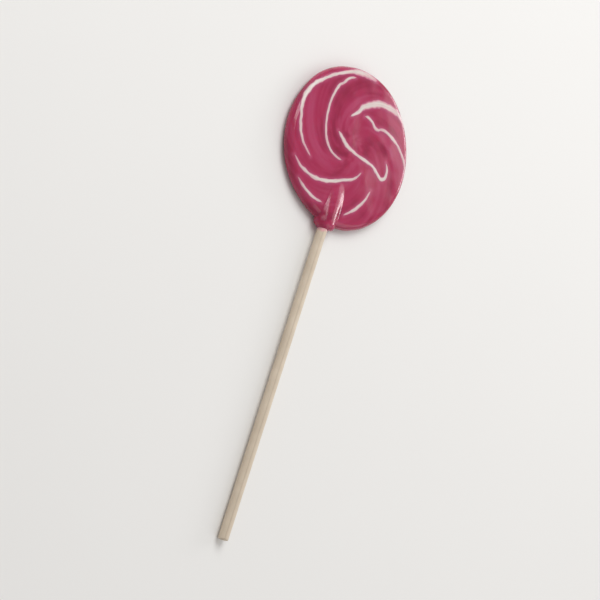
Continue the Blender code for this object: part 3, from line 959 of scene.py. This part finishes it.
class LOLLIPOP_OT_stick(bpy.types.Operator):
    """Make the rolled paper stick"""

    bl_idname = "lollipop.stick"
    bl_label = "Stick"

    # Points in each ring, and rings along the side, round a corner and over an end, from this share of
    # its radius.
    AROUND = 96
    SIDE_RINGS = 420
    CORNER_RINGS = 6
    END_RINGS = 16
    INNERMOST = 0.06

    # The rounding of the corners, and how far the middle of the far end is pressed in.
    ROUNDING = 0.22 * MM
    DIMPLE = 0.05 * MM

    # The roll's layers: their spacing, the depth of the lines between them on the ends, and how far in
    # from the end's edge those lines begin and are whole.
    LAYER_SPACING = 0.42 * MM
    LAYER_DEPTH = 0.07 * MM
    LINES_BEGIN = 0.25 * MM
    LINES_WHOLE = 0.45 * MM

    # The outer layer's edge: how far it stands out, the shares of the radius where the ends begin to
    # follow it and do so in full, its bearing as a share of a turn, and how far the shade painted beside it
    # reaches.
    OVERLAP_STEP = 0.05 * MM
    OVERLAP_BEGINS = 0.5
    OVERLAP_WHOLE = 0.9
    OVERLAP_AT = 0.31
    OVERLAP_SHADE = 0.12 * MM

    # How far the thickness varies, over what length, and its random draws.
    THICKNESS_WAVE = 0.012 * MM
    THICKNESS_LENGTH = 14 * MM
    THICKNESS_SEED = 3

    # The tide mark: how far past the lip it lies, how far it wanders, over what length in radians, with
    # which random draws, the length that it fades over, and its share of the stain.
    TIDE_PAST_LIP = 1.4 * MM
    TIDE_WANDERS = 0.5 * MM
    TIDE_LENGTH = 1.6
    TIDE_SEED = 21
    TIDE_FADES = 0.9 * MM
    TIDE_STAIN = 0.75

    def execute(self, context):
        settings = context.scene.lollipop
        shape = CandyShape(settings)
        size = settings.stick
        free = size.length - size.let_in
        radius, out = self.profile(size, free)
        turn = (np.arange(self.AROUND) + 0.5) / self.AROUND
        grid = (len(radius), self.AROUND)
        radius, out, turns = (
            np.broadcast_to(values, grid).copy()
            for values in (radius[:, None], out[:, None], turn[None, :])
        )
        side = smooth_step(radius, self.OVERLAP_BEGINS * size.radius, self.OVERLAP_WHOLE * size.radius)
        radius += self.OVERLAP_STEP * (turns - 0.5) * side
        radius += self.THICKNESS_WAVE * waves(out[..., None], self.THICKNESS_LENGTH, self.THICKNESS_SEED)
        layers = 0.5 - 0.5 * np.cos(TURN * (radius / self.LAYER_SPACING - turns))
        at_end = smooth_step(size.radius - radius, self.LINES_BEGIN, self.LINES_WHOLE)
        out -= self.LAYER_DEPTH * layers * at_end * np.sign(out)

        angle = TURN * (turns + self.OVERLAP_AT)
        heading = np.stack((np.cos(angle), np.sin(angle)), -1)
        places = np.stack((radius * heading[..., 0], out, radius * heading[..., 1]), -1)
        middles = np.array([(0, -size.let_in, 0), (0, free - self.DIMPLE, 0)])
        slope = math.atan(shape.slope())
        rings = self.laid(places, settings, slope)
        first, last = self.laid(middles, settings, slope)

        wander = self.TIDE_WANDERS * waves(heading, self.TIDE_LENGTH, self.TIDE_SEED)
        tide = settings.candy.lip + self.TIDE_PAST_LIP + wander
        wet = self.TIDE_STAIN * (1 - smooth_step(out, tide - self.TIDE_FADES, tide))
        # painted shade: the paper darkens beside the outer layer's overlap and fades over OVERLAP_SHADE, in
        # place of the step's own shadow
        off_edge = np.minimum(turns, 1 - turns) * TURN * size.radius
        attributes = {
            "wet": np.append(wet.ravel(), (1.0, 0.0)),
            "edge": np.append(np.exp(-off_edge / self.OVERLAP_SHADE).ravel(), (0.0, 0.0)),
        }
        mesh = ringed_mesh("paper_stick", rings, first, last, attributes)
        place(mesh.name, mesh, rolled_paper(settings), "stick")
        return {"FINISHED"}

    def profile(self, size, free):
        """Radius and distance out from the candy's edge, along a line from the middle of the end in the
        candy over its rounded corner, along the side, and over the other corner to the middle of the far
        end."""
        corner = np.linspace(0, TURN / 4, self.CORNER_RINGS)[1:-1]
        rise, fall = self.ROUNDING * np.sin(corner), self.ROUNDING * np.cos(corner)
        core = size.radius - self.ROUNDING
        end = np.linspace(self.INNERMOST, 1, self.END_RINGS) * core
        side = np.linspace(-size.let_in + self.ROUNDING, free - self.ROUNDING, self.SIDE_RINGS)
        inner_end, outer_end = np.full_like(end, -size.let_in), np.full_like(end, free)
        sides = np.full_like(side, size.radius)
        radius = np.concatenate((end, core + rise, sides, core + fall, end[::-1]))
        out = np.concatenate((inner_end, side[0] - fall, side, side[-1] + rise, outer_end))
        return radius, out

    @staticmethod
    def laid(places, settings, slope):
        """Places across, out along and up from the stick's line, turned to lie along -Y and tip down by the
        slope."""
        across, out, up = np.moveaxis(places, -1, 0)
        y = -settings.candy.radius - out * math.cos(slope) - up * math.sin(slope)
        z = settings.stick.height - out * math.sin(slope) + up * math.cos(slope)
        return np.stack((across, y, z), -1)


class LOLLIPOP_OT_stage(bpy.types.Operator):
    """Make the floor, the soft lights and the camera"""

    bl_idname = "lollipop.stage"
    bl_label = "Stage"

    # The floor's half width, and how far under the lollipop it lies.
    FLOOR_HALF = 1.5
    FLOOR_GAP = 0.02 * MM

    # Each light's name, its place from the lollipop's middle, its width and its height.
    LIGHTS = (
        ("key", (-0.15, 0.50, 0.62), 0.55, 0.55),
        ("fill", (0.55, -0.25, 0.50), 0.60, 0.60),
        ("sheen", (0.62, 0.42, 0.42), 0.30, 0.30),
        ("rim", (0.68, 0.42, 0.21), 0.18, 0.36),
    )
    LIGHTS_UP = (0.0, 1.0, 0.0)

    # The camera looks down on the face from 43 degrees off it. The swirls' upward side, which is turned
    # from +Y by about FRONT_TURN, is upright in the view, and the stick runs to the bottom of it.
    CAMERA_BACK = np.array((-0.626, -0.271, 0.731))
    CAMERA_UP = np.array((-0.397, 0.918, 0.0))
    CLIP_START = 0.01

    def execute(self, context):
        settings = context.scene.lollipop
        scene = context.scene
        low, high = CAD_BOX
        middle = np.array((low + high) / 2)
        self.floor(scene, settings, low.z - self.FLOOR_GAP)
        self.lights(scene, settings.stage, middle)
        self.camera(scene, settings.stage, middle)
        scene.view_settings.view_transform = "Standard"
        return {"FINISHED"}

    def floor(self, scene, settings, z):
        """One square face, level, at height z."""
        x = y = self.FLOOR_HALF
        mesh = bpy.data.meshes.new("floor")
        mesh.from_pydata([(-x, -y, z), (x, -y, z), (x, y, z), (-x, y, z)], [], [(0, 1, 2, 3)])
        mesh.materials.append(matt_board(settings))
        floor = bpy.data.objects.new("floor", mesh)
        scene.collection.objects.link(floor)

    def lights(self, scene, stage, middle):
        """Soft rectangles that face the lollipop's middle, and a pale even light from all round."""
        for name, offset, width, height in self.LIGHTS:
            lamp = bpy.data.lights.new(name, "AREA")
            lamp.shape = "RECTANGLE"
            lamp.size = width
            lamp.size_y = height
            lamp.energy = getattr(stage, f"{name}_power")
            light = bpy.data.objects.new(name, lamp)
            scene.collection.objects.link(light)
            self.aim(light, middle + np.array(offset), offset, self.LIGHTS_UP)
        world = bpy.data.worlds.new("soft_room")
        world.use_nodes = True
        background = world.node_tree.nodes["Background"]
        background.inputs["Color"].default_value = tuple(stage.room)
        background.inputs["Strength"].default_value = stage.room_strength
        scene.world = world

    def camera(self, scene, stage, middle):
        """It stands its distance from the lollipop's middle and looks at it."""
        camera = bpy.data.objects.new("camera", bpy.data.cameras.new("camera"))
        camera.data.lens = stage.lens
        camera.data.clip_start = self.CLIP_START
        self.aim(camera, middle + self.CAMERA_BACK * stage.distance, self.CAMERA_BACK, self.CAMERA_UP)
        scene.collection.objects.link(camera)
        scene.camera = camera

    @staticmethod
    def aim(thing, at, back, up):
        """Sets a camera or light down at a place, with its back and its upward side towards these
        directions."""
        back = np.array(back) / np.linalg.norm(back)
        right = np.cross(up, back)
        right /= np.linalg.norm(right)
        matrix = np.eye(4)
        matrix[:3, :3] = np.column_stack((right, np.cross(back, right), back))
        matrix[:3, 3] = at
        thing.matrix_world = Matrix(matrix.tolist())


class VIEW3D_PT_lollipop(bpy.types.Panel):
    """The lollipop's operators and settings"""

    bl_label = "Lollipop"
    bl_space_type = "VIEW_3D"
    bl_region_type = "UI"
    bl_category = "Lollipop"

    def draw(self, context):
        settings = context.scene.lollipop
        for operator, group in (
            ("lollipop.candy", settings.candy),
            ("lollipop.swirls", settings.swirls),
            ("lollipop.stick", settings.stick),
            ("lollipop.stage", settings.stage),
        ):
            box = self.layout.box()
            box.operator(operator)
            for name in group.__annotations__:
                box.prop(group, name)


CLASSES = (
    CandySettings,
    SwirlSettings,
    StickSettings,
    StageSettings,
    LollipopSettings,
    LOLLIPOP_OT_candy,
    LOLLIPOP_OT_swirls,
    LOLLIPOP_OT_stick,
    LOLLIPOP_OT_stage,
    VIEW3D_PT_lollipop,
)


def register():
    """Registers the classes and gives each scene its settings."""
    for made in CLASSES:
        bpy.utils.register_class(made)
    bpy.types.Scene.lollipop = bpy.props.PointerProperty(type=LollipopSettings)


def unregister():
    """Takes both away again."""
    del bpy.types.Scene.lollipop
    for made in reversed(CLASSES):
        bpy.utils.unregister_class(made)


def main():
    """Makes every piece and the stage."""
    register()
    bpy.ops.lollipop.candy()
    bpy.ops.lollipop.swirls()
    bpy.ops.lollipop.stick()
    bpy.ops.lollipop.stage()


if __name__ == "__main__":
    main()
